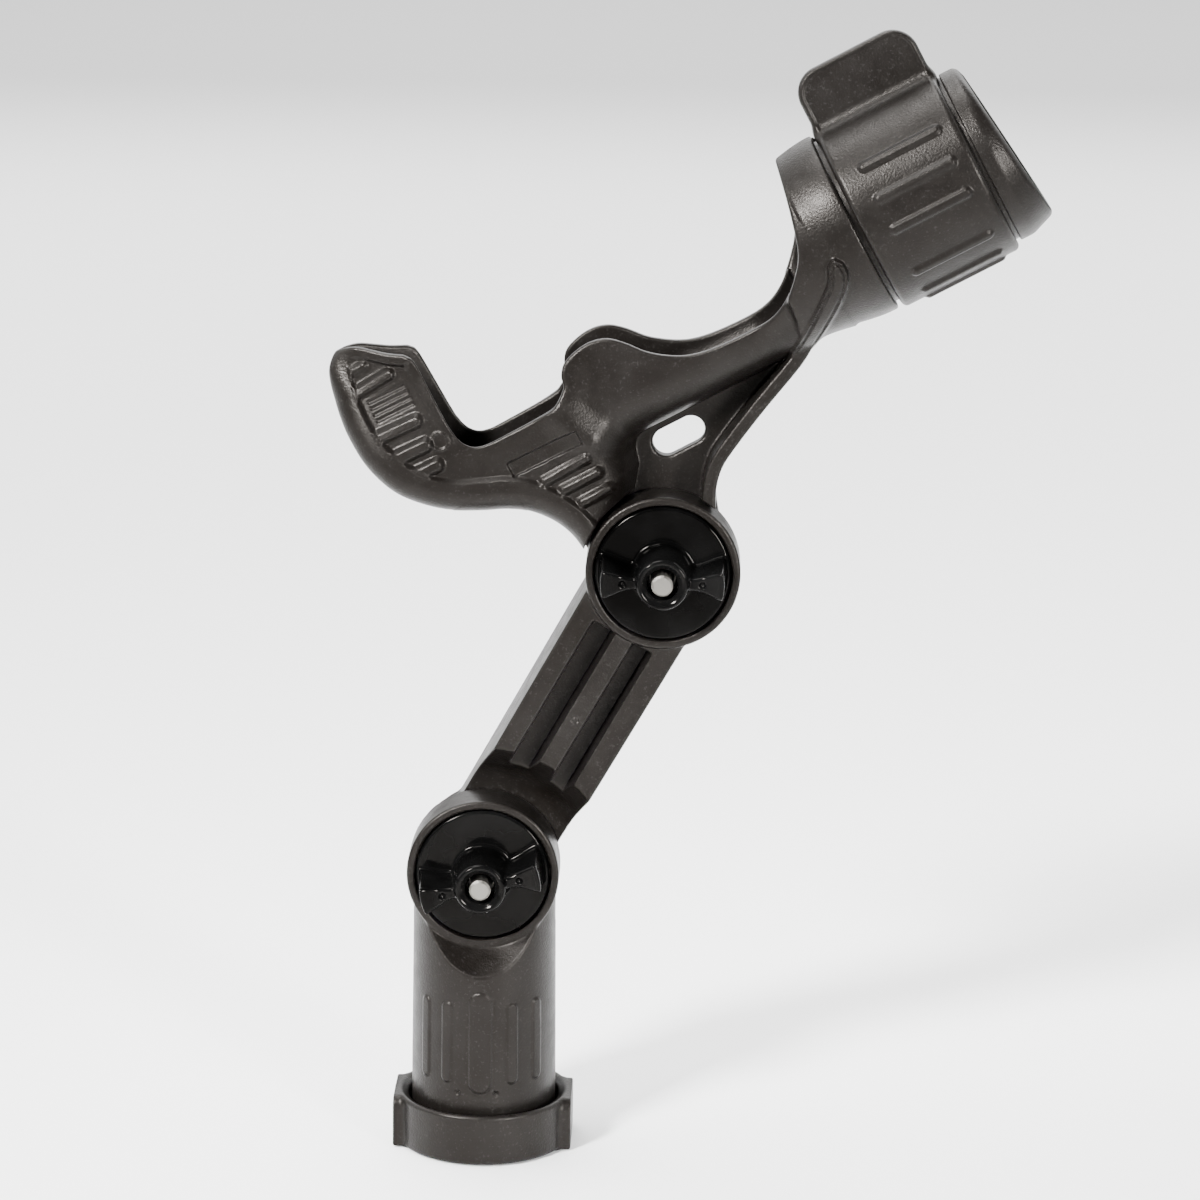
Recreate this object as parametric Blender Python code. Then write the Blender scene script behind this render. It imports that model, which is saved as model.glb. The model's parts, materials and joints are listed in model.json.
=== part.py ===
"""Adjustable fishing rod holder: socket base, extension arm and rod cradle.

The origin is the centre of the base socket's mouth. +Z runs up the base tube, the
arm and the cradle tilt in the XZ plane, and the two clamping knobs face -Y.
Lengths below are in millimetres and angles in degrees; meshes are built in metres.
"""
from math import acos, cos, pi, radians, sin, sqrt

import bmesh
import bpy
from mathutils import Matrix, Vector

MM = 0.001
GAP = 0.3                        # clearance kept between neighbouring solids

# Linkage
PIVOT_HEIGHT = 84.0              # lower pivot above the socket mouth
PIVOT_SPACING = 101.6            # lower pivot to upper pivot, a 4 inch arm
ARM_TILT = 29.2                  # arm from vertical, towards +X
CRADLE_TILT = 28.5               # rod axis above horizontal
ROD_AXIS_HEIGHT = 61.9           # rod axis above the upper pivot

# Clamped toothed joint, the same at both pivots
RING_RADIUS = 21.6               # front ear, which the knob sits in
EAR_RADIUS = 19.0                # back ear
RING_FACE = 14.0                 # front ear's lip, in front of the mid plane
EAR_BACK = 13.0                  # back ear's rear face, behind the mid plane
RECESS_RADIUS = 19.3
RECESS_FLOOR = 9.4
TOOTH_COUNT = 24
TOOTH_INNER, TOOTH_OUTER = 8.6, 17.2
TOOTH_ROOT, TOOTH_TIP = 0.9, 0.3
BOLT_RADIUS = 3.0
BOLT_HOLE = 3.5
BOLT_TIP = 28.6
HEX_FLATS = 11.1
HEX_HEIGHT = 4.0
HEX_TURN = 26.0
NUT_HEIGHT = 5.5
SPRING_POCKET = 6.2
SPRING_POCKET_DEPTH = 4.6
SPRING_MEAN, SPRING_WIRE, SPRING_TURNS = 4.9, 0.5, 4

# Knob
KNOB_RADIUS = 18.6
KNOB_BACK = 11.0
KNOB_FACE = 13.8
HUB_BASE, HUB_TOP, HUB_FACE = 8.6, 7.0, 28.0
LOWER_KNOB_TURN = 13.0

# Base
TUBE_TOP_RADIUS, TUBE_RADIUS = 20.4, 20.8
SOCKET_RADIUS, SOCKET_DEPTH = 17.5, 50.0
BASE_SWING = 26.5                # the arm's beam passes inside this, down to horizontal
COLLAR_INNER, COLLAR_OUTER = 21.6, 25.0
COLLAR_LOW, COLLAR_HIGH = 0.4, 15.3
COLLAR_GRIP = 25.7
COLLAR_GRIP_HALF = 11.0

# Arm
ARM_HALF_WIDTH = 15.5
ARM_FRONT, ARM_BACK = 12.6, 12.7
SEAM = 0.04                      # offset that keeps joined faces from lying in one plane
CHANNEL_INNER, CHANNEL_OUTER = 2.8, 9.5
CHANNEL_DEPTH = 7.5
RAMP_INNER, RAMP_OUTER = 26.4, 37.0

# Cradle, in the cradle's own frame: x along the rod axis, z across it
WALL = 2.4
TROUGH_HALF = 13.6
TROUGH_BOTTOM = 36.3
WALL_LEAN = 0.129                # inward lean of the walls above LEAN_START
LEAN_START = 55.0
HOOK_END, HOOK_START = -61.0, -32.0
WEB_BACK, WEB_FRONT = 5.8, 0.8
LOFT_END = 71.5
SWING_CLEARANCE = 22.8

# Barrel and its ring
BORE_RADIUS = 21.0
BARREL_RADIUS = 25.2
NECK_RADIUS = 27.0
NECK_END = 91.3
BARREL_END = 129.2
SLOT_NEAR, SLOT_FAR = -5.0, 13.0  # drop-in slot, open towards the back of the top
RING_START, RING_END = 92.7, 128.3
RING_INNER, RING_OUTER = 25.6, 27.9
NOSE_START = 129.6
NOSE_RADIUS = 26.0
SCREW_CIRCLE = 23.1
SCREW_ANGLES = (55, 180, 305)

for leftover in list(bpy.data.objects):
    bpy.data.objects.remove(leftover)


# ---------------------------------------------------------------- frames
LOWER = Matrix.Translation((0, 0, PIVOT_HEIGHT * MM))
ARM = LOWER @ Matrix.Rotation(radians(ARM_TILT), 4, "Y")
UPPER = Matrix.Translation(ARM @ Vector((0, 0, PIVOT_SPACING * MM)))
CRADLE = UPPER @ Matrix.Rotation(-radians(CRADLE_TILT), 4, "Y")
ROD = CRADLE @ Matrix.Translation((0, 0, ROD_AXIS_HEIGHT * MM))
BASE = Matrix.Identity(4)
KNOB_TURNED = LOWER @ Matrix.Rotation(-radians(LOWER_KNOB_TURN), 4, "Y")

AXIS_TURN = {
    "Z": Matrix.Identity(4),
    "Y": Matrix.Rotation(radians(-90), 4, "X"),
    "X": Matrix.Rotation(radians(90), 4, "Y"),
}


# ---------------------------------------------------------------- materials
def material(name, colour, roughness, metallic=0.0):
    made = bpy.data.materials.new(name)
    made.use_nodes = True
    shader = made.node_tree.nodes["Principled BSDF"]
    shader.inputs["Base Color"].default_value = (*colour, 1.0)
    shader.inputs["Roughness"].default_value = roughness
    shader.inputs["Metallic"].default_value = metallic
    return made


NYLON = material("glass_filled_nylon", (0.035, 0.032, 0.030), 0.55)
GLOSS = material("gloss_nylon", (0.012, 0.012, 0.012), 0.25)
STEEL = material("stainless_steel", (0.62, 0.61, 0.58), 0.30, 1.0)
SPRING = material("spring_steel", (0.45, 0.45, 0.44), 0.35, 1.0)
RUBBER = material("black_rubber", (0.02, 0.02, 0.02), 0.8)


# ---------------------------------------------------------------- mesh tools
def make(name, verts, faces, frame):
    """A closed mesh object from millimetre points, placed by its frame."""
    mesh = bpy.data.meshes.new(name)
    mesh.from_pydata([Vector(v) * MM for v in verts], [], faces)
    bm = bmesh.new()
    bm.from_mesh(mesh)
    bmesh.ops.remove_doubles(bm, verts=bm.verts, dist=1e-7)
    bmesh.ops.recalc_face_normals(bm, faces=bm.faces)
    bm.to_mesh(mesh)
    bm.free()
    made = bpy.data.objects.new(name, mesh)
    bpy.context.collection.objects.link(made)
    made.matrix_world = frame
    return made


def lathe(name, profile, frame, axis="Z", segments=48, centre=(0, 0, 0), phase=0.0):
    """Turns a closed (radius, height) outline about an axis."""
    verts, faces = [], []
    turn = Matrix.Translation(centre) @ AXIS_TURN[axis]
    for i in range(segments):
        a = 2 * pi * (i + phase) / segments
        verts += [turn @ Vector((r * cos(a), r * sin(a), h)) for r, h in profile]
    count = len(profile)
    for i in range(segments):
        low, high = i * count, (i + 1) % segments * count
        for j in range(count):
            k = (j + 1) % count
            if profile[j][0] == 0 and profile[k][0] == 0:
                continue
            corners = [low + j, high + j, high + k, low + k]
            if profile[j][0] == 0:
                corners.remove(high + j)
            if profile[k][0] == 0:
                corners.remove(high + k)
            faces.append(corners)
    return make(name, verts, faces, frame)


def disc(name, radius, low, high, frame, axis="Z", segments=48, centre=(0, 0, 0)):
    """A plain cylinder, turned half a facet so that its edges miss its neighbour's."""
    profile = [(0, low), (radius, low), (radius, high), (0, high)]
    return lathe(name, profile, frame, axis, segments, centre, 0.5)


def prism(name, outline, low, high, frame, axis="Y"):
    """Extrudes an outline drawn in XZ (axis Y) or XY (axis Z) or YZ (axis X)."""
    place = {
        "Y": lambda p, h: (p[0], h, p[1]),
        "Z": lambda p, h: (p[0], p[1], h),
        "X": lambda p, h: (h, p[0], p[1]),
    }[axis]
    count = len(outline)
    verts = [place(p, low) for p in outline] + [place(p, high) for p in outline]
    faces = [tuple(range(count)), tuple(range(2 * count - 1, count - 1, -1))]
    faces += [(i, (i + 1) % count, count + (i + 1) % count, count + i) for i in range(count)]
    return make(name, verts, faces, frame)


def box(name, low, high, frame):
    outline = [(low[0], low[1]), (high[0], low[1]), (high[0], high[1]), (low[0], high[1])]
    return prism(name, outline, low[2], high[2], frame, "Z")


def hexagon(flats):
    radius = flats / sqrt(3)
    return [(radius * cos(radians(60 * i + HEX_TURN)), radius * sin(radians(60 * i + HEX_TURN)))
            for i in range(6)]


def rounded(corners):
    """An outline whose (x, z, radius, steps) corners are replaced by arcs."""
    points = []
    count = len(corners)
    for i, (x, z, radius, steps) in enumerate(corners):
        if not radius:
            points.append((x, z))
            continue
        here = Vector((x, z))
        back = (Vector(corners[i - 1][:2]) - here).normalized()
        ahead = (Vector(corners[(i + 1) % count][:2]) - here).normalized()
        half = acos(max(-1, min(1, back.dot(ahead)))) / 2
        middle = here + (back + ahead).normalized() * radius / sin(half)
        start = here + back * radius * cos(half) / sin(half) - middle
        end = here + ahead * radius * cos(half) / sin(half) - middle
        sweep = start.angle_signed(end)
        for k in range(steps + 1):
            turn = Matrix.Rotation(-sweep * k / steps, 2)
            points.append(tuple(middle + turn @ start))
    return points


def apply_boolean(target, tool, operation):
    modifier = target.modifiers.new("boolean", "BOOLEAN")
    modifier.object = tool
    modifier.operation = operation
    modifier.solver = "EXACT"
    bpy.context.view_layer.update()
    evaluated = target.evaluated_get(bpy.context.evaluated_depsgraph_get())
    result = bpy.data.meshes.new_from_object(evaluated)
    target.modifiers.clear()
    target.data = result
    bpy.data.objects.remove(tool)
    return target


def join(target, *tools):
    for tool in tools:
        apply_boolean(target, tool, "UNION")
    return target


def cut(target, *tools):
    for tool in tools:
        apply_boolean(target, tool, "DIFFERENCE")
    return target


def keep(target, tool):
    return apply_boolean(target, tool, "INTERSECT")


def clean(target, distance=0.02):
    """Merges slivers that the cuts leave, and drops flat, useless edges."""
    bm = bmesh.new()
    bm.from_mesh(target.data)
    bmesh.ops.remove_doubles(bm, verts=bm.verts, dist=distance * MM)
    bmesh.ops.dissolve_degenerate(bm, edges=bm.edges, dist=distance * MM)
    bmesh.ops.dissolve_limit(bm, angle_limit=radians(0.5), verts=bm.verts, edges=bm.edges)
    bmesh.ops.triangulate(bm, faces=bm.faces)
    bm.to_mesh(target.data)
    bm.free()
    return target


def finish(target, paint, pivot=None):
    target.data.materials.clear()
    target.data.materials.append(paint)
    target.data.shade_smooth()
    target.data.set_sharp_from_angle(angle=radians(35))
    if pivot:
        placed = target.matrix_world.copy()
        target.parent = pivot
        target.matrix_parent_inverse = Matrix.Identity(4)
        target.matrix_world = placed
    return target


def empty(name, frame):
    made = bpy.data.objects.new(name, None)
    made.empty_display_size = 0.02
    bpy.context.collection.objects.link(made)
    made.matrix_world = frame
    return made


# ---------------------------------------------------------------- joint parts
def tooth_cutter(side, frame, centre):
    """Cuts radial clutch teeth into an ear's mating face; side -1 is a front ear."""
    verts, faces = [], []
    count = 2 * TOOTH_COUNT
    for i in range(count):
        a = pi * (i + 0.3) / TOOTH_COUNT
        depth = TOOTH_TIP + SEAM if i % 2 else TOOTH_ROOT
        for radius, height in ((TOOTH_INNER, depth), (TOOTH_OUTER, depth),
                               (TOOTH_OUTER, -2), (TOOTH_INNER, -2)):
            verts.append((centre[0] + radius * cos(a), side * height, centre[2] + radius * sin(a)))
    for i in range(count):
        here, after = 4 * i, 4 * ((i + 1) % count)
        for j in range(4):
            k = (j + 1) % 4
            faces.append((here + j, after + j, after + k, here + k))
    return make("tooth_cutter", verts, faces, frame)


def add_front_ear(body, frame, centre=(0, 0, 0)):
    """Cupped ear in front of the mid plane, with the knob's recess."""
    join(body, lathe("ear", [(0, -RING_FACE), (RING_RADIUS - 0.8, -RING_FACE),
                             (RING_RADIUS, -RING_FACE + 0.8), (RING_RADIUS, -TOOTH_TIP),
                             (0, -TOOTH_TIP)], frame, "Y", 44, centre))
    recess = [(0, -RING_FACE - 2), (RECESS_RADIUS, -RING_FACE - 2), (RECESS_RADIUS, -RECESS_FLOOR),
              (BOLT_HOLE, -RECESS_FLOOR), (BOLT_HOLE, -SPRING_POCKET_DEPTH),
              (SPRING_POCKET, -SPRING_POCKET_DEPTH), (SPRING_POCKET, 1), (0, 1)]
    cut(body, lathe("recess", recess, frame, "Y", 36, centre, 0.4),
        tooth_cutter(-1, frame, centre))


def add_back_ear(body, frame, centre=(0, 0, 0)):
    """Plain ear behind the mid plane, with the bolt head's hexagonal pocket."""
    join(body, lathe("ear", [(0, TOOTH_TIP), (EAR_RADIUS, TOOTH_TIP), (EAR_RADIUS, EAR_BACK - 0.8),
                             (EAR_RADIUS - 0.8, EAR_BACK), (0, EAR_BACK)], frame, "Y", 40, centre))
    hole = [(0, -1), (SPRING_POCKET, -1), (SPRING_POCKET, SPRING_POCKET_DEPTH),
            (BOLT_HOLE, SPRING_POCKET_DEPTH), (BOLT_HOLE, EAR_BACK + 2), (0, EAR_BACK + 2)]
    outline = [(x + centre[0], z + centre[2]) for x, z in hexagon(HEX_FLATS + 2 * GAP)]
    cut(body, lathe("hole", hole, frame, "Y", 20, centre, 0.4), tooth_cutter(1, frame, centre),
        prism("hex", outline, EAR_BACK - HEX_HEIGHT - GAP, EAR_BACK + 3, frame))


def joint_hardware(prefix, frame, pivot, knob_frame):
    """Bolt, spring, washer, knob and captive nut of one joint."""
    head_start = EAR_BACK - HEX_HEIGHT
    bolt = lathe(prefix + "_bolt", [(0, -BOLT_TIP), (BOLT_RADIUS - 0.6, -BOLT_TIP),
                                    (BOLT_RADIUS, -BOLT_TIP + 0.6), (BOLT_RADIUS, head_start + 1),
                                    (0, head_start + 1)], frame, "Y", 20)
    join(bolt, prism("head", hexagon(HEX_FLATS), head_start, EAR_BACK - 0.2, frame))
    finish(clean(bolt), STEEL, pivot)

    coil = bpy.data.curves.new(prefix + "_spring", "CURVE")
    coil.dimensions = "3D"
    spline = coil.splines.new("POLY")
    steps = 10 * SPRING_TURNS
    rise = SPRING_POCKET_DEPTH - SPRING_WIRE - 0.1
    spline.points.add(steps)
    for i, point in enumerate(spline.points):
        a = 2 * pi * i / 10
        height = -rise + 2 * rise * i / steps
        point.co = (SPRING_MEAN * cos(a) * MM, height * MM, SPRING_MEAN * sin(a) * MM, 1)
    coil.bevel_depth = SPRING_WIRE * MM
    coil.bevel_resolution = 0
    coil.use_fill_caps = True
    spring = bpy.data.objects.new(prefix + "_spring", coil)
    bpy.context.collection.objects.link(spring)
    spring.matrix_world = frame
    coil.materials.append(SPRING)
    spring.parent = pivot
    spring.matrix_parent_inverse = pivot.matrix_world.inverted()

    washer = lathe(prefix + "_thrust_washer",
                   [(BOLT_HOLE, -KNOB_BACK + GAP), (8.0, -KNOB_BACK + GAP),
                    (8.0, -RECESS_FLOOR - GAP), (BOLT_HOLE, -RECESS_FLOOR - GAP)],
                   frame, "Y", 24)
    finish(washer, STEEL, pivot)

    finish(clean(knob(prefix + "_knob", knob_frame)), GLOSS, pivot)
    nut_back = KNOB_BACK + 0.4
    nut = prism(prefix + "_knob_nut", hexagon(HEX_FLATS), -nut_back - NUT_HEIGHT, -nut_back,
                knob_frame)
    hole = disc("hole", BOLT_RADIUS + GAP, -nut_back - NUT_HEIGHT - 1, -nut_back + 1,
                knob_frame, "Y", 18)
    finish(cut(nut, hole), STEEL, pivot)


def knob(name, frame):
    """Round knob plate with a tall hub and two finger wings."""
    bore = BOLT_RADIUS + 0.6
    body = lathe(name, [
        (bore, -KNOB_BACK), (KNOB_RADIUS - 0.5, -KNOB_BACK), (KNOB_RADIUS, -KNOB_BACK - 0.5),
        (KNOB_RADIUS, -KNOB_FACE + 0.4), (KNOB_RADIUS - 0.4, -KNOB_FACE),
        (HUB_BASE, -KNOB_FACE), (HUB_TOP, -HUB_FACE + 0.8), (HUB_TOP - 0.8, -HUB_FACE),
        (bore, -HUB_FACE)], frame, "Y", 36)
    for side in (-1, 1):
        outline = [(side * 5.0, -3.0), (side * 11.0, -2.6), (side * 17.2, -5.6),
                   (side * 17.9, -1.0), (side * 17.6, 3.0), (side * 11.0, 2.2), (side * 5.0, 2.6)]
        wing = prism("wing", outline, -HUB_FACE + 0.9, -KNOB_FACE + 1, frame)
        slope = prism("slope", [(side * 12.0, -HUB_FACE), (side * 19.0, -HUB_FACE),
                                (side * 19.0, -HUB_FACE + 8.0)], -8, 8, frame, "Z")
        join(body, cut(wing, slope))
    pocket = prism("pocket", hexagon(HEX_FLATS + 2 * GAP), -KNOB_BACK - NUT_HEIGHT - 0.8,
                   -KNOB_BACK + 1, frame)
    return cut(body, pocket)


# ---------------------------------------------------------------- base
def base_body():
    profile = [
        (0, 0), (TUBE_RADIUS - 0.6, 0), (TUBE_RADIUS, 0.6), (TUBE_RADIUS, 0.8),
        (19.5, 0.8), (19.5, 2.6), (TUBE_RADIUS, 2.6), (TUBE_RADIUS, 6.4),
        (19.4, 6.4), (19.4, 8.8), (TUBE_RADIUS, 8.8), (TUBE_RADIUS, 12.0),
        (TUBE_TOP_RADIUS, PIVOT_HEIGHT - 6), (0, PIVOT_HEIGHT - 6),
    ]
    body = lathe("base_body", profile, BASE, "Z", 44)
    for angle in (-50, -27.5, 0, 27.5, 50, 130, 152.5, 180, 207.5, 230):
        half = 3.4 if angle in (0, 180) else 1.2
        low = PIVOT_HEIGHT - (63.4 if angle in (0, 180) else 61.0)
        high = PIVOT_HEIGHT - (33.0 if angle in (0, 180) else 36.5)
        outline = [(-half, low), (half, low), (half, high), (-half, high)]
        turned = Matrix.Rotation(radians(angle), 4, "Z")
        bar = prism("bar", outline, -TUBE_RADIUS - 0.35, -TUBE_RADIUS + 2.2, turned)
        bar.data.transform(turned)
        bar.matrix_world = BASE
        join(body, bar)
    pivot = (0, 0, PIVOT_HEIGHT)
    swing = disc("swing", BASE_SWING, -TOOTH_TIP - SEAM, 30, BASE, "Y", 40, pivot)
    lip = -RING_FACE + 0.4
    flare = lathe("flare", [(0, lip), (RING_RADIUS - 0.1, lip), (RING_RADIUS + 15.9, lip - 16),
                            (0, lip - 16)], BASE, "Y", 44, pivot, 0.5)
    above = box("above", (-25, -25, PIVOT_HEIGHT - 7.5), (25, 25, PIVOT_HEIGHT + 5), BASE)
    cut(body, swing, flare, above)
    add_front_ear(body, BASE, pivot)
    cut(body, disc("socket", SOCKET_RADIUS, -1, SOCKET_DEPTH, BASE, "Z", 36))
    return finish(clean(body), NYLON)


def base_rings():
    grips = []
    ring = lathe("twist_collar", [
        (20, COLLAR_LOW), (COLLAR_OUTER - 0.6, COLLAR_LOW), (COLLAR_OUTER, COLLAR_LOW + 0.6),
        (COLLAR_OUTER, COLLAR_HIGH - 0.8), (COLLAR_OUTER - 0.8, COLLAR_HIGH), (20, COLLAR_HIGH)],
        BASE, "Z", 48)
    for side in (-1, 1):
        outline = rounded([(-COLLAR_GRIP_HALF, COLLAR_LOW, 0, 0), (COLLAR_GRIP_HALF, COLLAR_LOW, 0, 0),
                           (COLLAR_GRIP_HALF, COLLAR_HIGH, 3.5, 4),
                           (-COLLAR_GRIP_HALF, COLLAR_HIGH, 3.5, 4)])
        inner, outer = sorted((side * 21.0, side * COLLAR_GRIP))
        grips.append(prism("grip", outline, inner, outer, BASE, "X"))
    join(ring, *grips)
    mouth = lathe("mouth", [(0, -1), (23.2, -1), (23.2, 3.2), (COLLAR_INNER, 3.2),
                            (COLLAR_INNER, COLLAR_HIGH - 2.2), (22.6, COLLAR_HIGH + 0.1),
                            (22.6, 20), (0, 20)], BASE, "Z", 48)
    finish(clean(cut(ring, mouth)), NYLON, empty("collar_axis", BASE))

    clip = lathe("collar_clip_ring", [(19.9, 1.1), (22.7, 1.1), (22.7, 2.3), (19.9, 2.3)],
                 BASE, "Z", 30)
    finish(clean(cut(clip, box("split", (-4, 10, 0), (4, 30, 5), BASE))), SPRING)

    centre, section = 20.45, 0.75
    outline = [(centre + section * cos(pi * k / 4), 7.6 + section * sin(pi * k / 4))
               for k in range(8)]
    finish(lathe("collar_drag_ring", outline, BASE, "Z", 28), RUBBER)


# ---------------------------------------------------------------- arm
def arm_body():
    pivot = (0, 0, PIVOT_SPACING)
    beam = box("arm", (-ARM_HALF_WIDTH, -ARM_FRONT, 6), (ARM_HALF_WIDTH, ARM_BACK, PIVOT_SPACING - 6),
               ARM)
    ramp = lathe("ramp", [(0, TOOTH_TIP + SEAM), (RAMP_INNER, TOOTH_TIP + SEAM),
                          (RAMP_OUTER, -ARM_FRONT - 0.1), (RAMP_OUTER, -20), (0, -20)],
                 ARM, "Y", 40)
    pocket = disc("pocket", EAR_RADIUS + 1.3, -TOOTH_TIP - SEAM, 20, ARM, "Y", 48, pivot)
    cut(beam, ramp, pocket)
    for side in (-1, 1):
        inner, outer = sorted((side * CHANNEL_INNER, side * CHANNEL_OUTER))
        cut(beam, box("channel", (inner, -20, 15), (outer, -ARM_FRONT + CHANNEL_DEPTH, 79), ARM))
        cut(beam, box("channel", (inner, ARM_BACK - CHANNEL_DEPTH, 24), (outer, 20, 79), ARM))
    add_back_ear(beam, ARM)
    add_front_ear(beam, ARM, pivot)
    return beam


# ---------------------------------------------------------------- cradle
def smooth_path(points, steps):
    """Catmull-Rom curve through the points, ends included."""
    path = []
    padded = [points[0], *points, points[-1]]
    for i in range(len(points) - 1):
        a, b, c, d = (Vector(p) for p in padded[i:i + 4])
        for k in range(steps):
            t = k / steps
            path.append(tuple(0.5 * (2 * b + (c - a) * t + (2 * a - 5 * b + 4 * c - d) * t * t
                                     + (3 * b - 3 * c + d - a) * t ** 3)))
    return path + [tuple(points[-1])]


UNDERSIDE = [(-50.0, 95.0), (-57.6, 90.0), (-60.6, 76.0), (-59.6, 63.0), (-54.9, 51.9),
             (-44.1, 41.8), (-31.1, 35.7), (-21.3, 27.7), (-17.2, 18.0), (-17.0, 8.0)]
HOOK_TOP = [(-44.5, 92.6), (-39.8, 89.3), (-34.6, 86.2)]
HUMP = [(-3.4, 55.8), (0.3, 60.0), (3.2, 64.6), (10.5, 66.6), (17.2, 65.2), (24.7, 57.2),
        (33.0, 51.6), (45.0, 49.5), (59.5, 50.1), (69.7, 57.0), (75.6, 66.5), (78.4, 80.0),
        (80.0, 90.0)]
RIGHT_EDGE = [(66.5, 36.8), (34.0, 21.9), (27.6, 18.0), (23.4, 13.0), (20.5, 6.0)]
NOTCH = [(-33.9, 85.8, 1.5, 2), (-33.3, 54.7, 7.0, 4)]


def trough_outline():
    """Side view of the trough, clockwise from the hook's tip."""
    lower = [(NECK_END, 90.0), (NECK_END, 33.0), (71.0, 36.6), (66.5, TROUGH_BOTTOM - 1.0),
             (-20.0, TROUGH_BOTTOM - 1.0)]
    plain = smooth_path(HUMP, 2) + lower + smooth_path(UNDERSIDE[:7], 2)[::-1]
    return rounded([(x, z, 0, 0) for x, z in smooth_path(HOOK_TOP[:2], 1)] + NOTCH
                   + [(x, z, 0, 0) for x, z in plain])


def half_width(x):
    if x < HOOK_START:
        share = (HOOK_START - x) / (HOOK_START - HOOK_END)
        return TROUGH_HALF * sqrt(max(0.0, 1 - share * share))
    if x > 50:
        share = min(1.0, (x - 50) / 32)
        blend = share * share * (3 - 2 * share)
        return TROUGH_HALF + (NECK_RADIUS - 0.6 - TROUGH_HALF) * blend
    return TROUGH_HALF


def trough_loft(name, stations, inset, bottom, top):
    """Closed loft of U sections along the rod, open ends capped flat."""
    verts, faces = [], []
    for x in stations:
        half = max(0.4, half_width(x) - inset)
        radius = min(half * 0.98, 7.0 if x < -20 else 13.0)
        lean = WALL_LEAN * (top - LEAN_START) * (1 if x < 55 else 0)
        floor = bottom(x)
        shoulder = max(LEAN_START, floor + radius + 1)
        section = [(-max(0.2, half - lean), top), (-half, shoulder)]
        section += [(-half + radius * (1 - cos(a)), floor + radius * (1 - sin(a)))
                    for a in (radians(30 * k) for k in range(4))]
        section += [(-y, z) for y, z in reversed(section)]
        verts += [(x, y, z) for y, z in section]
    count = len(section)
    faces.append(tuple(range(count)))
    faces.append(tuple(range(len(verts) - 1, len(verts) - 1 - count, -1)))
    for i in range(len(stations) - 1):
        for j in range(count):
            k = (j + 1) % count
            faces.append((i * count + j, i * count + k, (i + 1) * count + k, (i + 1) * count + j))
    return make(name, verts, faces, CRADLE)


def hook_floor(x, inset):
    """Height of the hook's underside, which curves up to the tip."""
    if x >= -20:
        return TROUGH_BOTTOM + inset
    for (x1, z1), (x2, z2) in zip(UNDERSIDE[2:], UNDERSIDE[3:]):
        if x1 <= x <= x2:
            return max(TROUGH_BOTTOM - 8, z1 + (z2 - z1) * (x - x1) / (x2 - x1)) + inset
    return 80.0


def cradle_body():
    stations = [-60.8, -59, -56, -51, -44, -32, -18, 0, 30, 50, 57, 64, LOFT_END]
    body = trough_loft("cradle", stations, 0.0, lambda x: hook_floor(x, -2.0) if x < -20 else
                       TROUGH_BOTTOM + 1.5 * max(0, x - 50) / (LOFT_END - 50), 99.0)
    keep(body, prism("side", trough_outline(), -40, 40, CRADLE))

    column = [(10.0, 46.0), (-30.0, 44.0), (-36.0, 39.5)]
    column += smooth_path(UNDERSIDE[6:], 2)
    column += [(-6.0, 4.0), (6.0, 8.0), (8.5, 30.0)]
    rib = RIGHT_EDGE + [(8.0, 6.0), (14.0, 16.0), (26.0, 23.0), (48.5, 38.0), (58.0, 43.0)]
    web = smooth_path(UNDERSIDE[7:], 2) + [(20.5, 6.0), (23.4, 13.0), (27.6, 18.0), (62.0, 34.6),
                                           (62.0, 42.0), (-18.0, 42.0)]
    join(body, prism("column", column, -12.4, 12.4, CRADLE),
         prism("rib", rib, -9.5, 11.5, CRADLE), prism("web", web, WEB_FRONT, WEB_BACK, CRADLE))

    axis_point = (0, 0, ROD_AXIS_HEIGHT)
    neck = lathe("neck", [(0, 66), (23.6, 66), (25.0, 75), (NECK_RADIUS, 87),
                          (NECK_RADIUS, NECK_END), (BARREL_RADIUS, NECK_END),
                          (BARREL_RADIUS, 109.6), (24.0, 109.6), (24.0, 111.0),
                          (BARREL_RADIUS, 111.0), (BARREL_RADIUS, BARREL_END), (0, BARREL_END)],
                 CRADLE, "X", 48, axis_point)
    rear = smooth_path(HUMP[8:], 2)
    keep(neck, prism("rear", rear + [(140, 95), (140, 20), (60, 20), (56, 44)], -40, 40, CRADLE))
    join(body, neck)

    inner = [-58.0, -54, -46, -32, -18, 0, 30, 50, 57, 64, LOFT_END + 0.4]
    cavity = trough_loft("cavity", inner, WALL, lambda x: hook_floor(x, 2.8), 101.0)
    bore = disc("bore", BORE_RADIUS, 70, 140, CRADLE, "X", 48, axis_point)
    cut(body, cavity, bore)
    cut(body, box("slot", (70, SLOT_NEAR, ROD_AXIS_HEIGHT), (140, SLOT_FAR, 100), CRADLE))
    lanyard = rounded([(12.7, 26.0, 3.9, 4), (28.2, 26.0, 3.9, 4), (28.2, 34.0, 3.9, 4),
                       (12.7, 34.0, 3.9, 4)])
    cut(body, prism("lanyard", lanyard, -20, 20, CRADLE))
    cut(body, disc("swing", SWING_CLEARANCE, -30, TOOTH_TIP + SEAM, CRADLE, "Y", 40))
    add_back_ear(body, CRADLE)
    for angle in SCREW_ANGLES:
        cut(body, disc("pilot", 1.4, 122.5, 135, CRADLE, "X", 12, screw_place(angle)))
    return body


def screw_place(angle, height=ROD_AXIS_HEIGHT):
    a = radians(angle)
    return (0, SCREW_CIRCLE * sin(a), height + SCREW_CIRCLE * cos(a))


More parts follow.
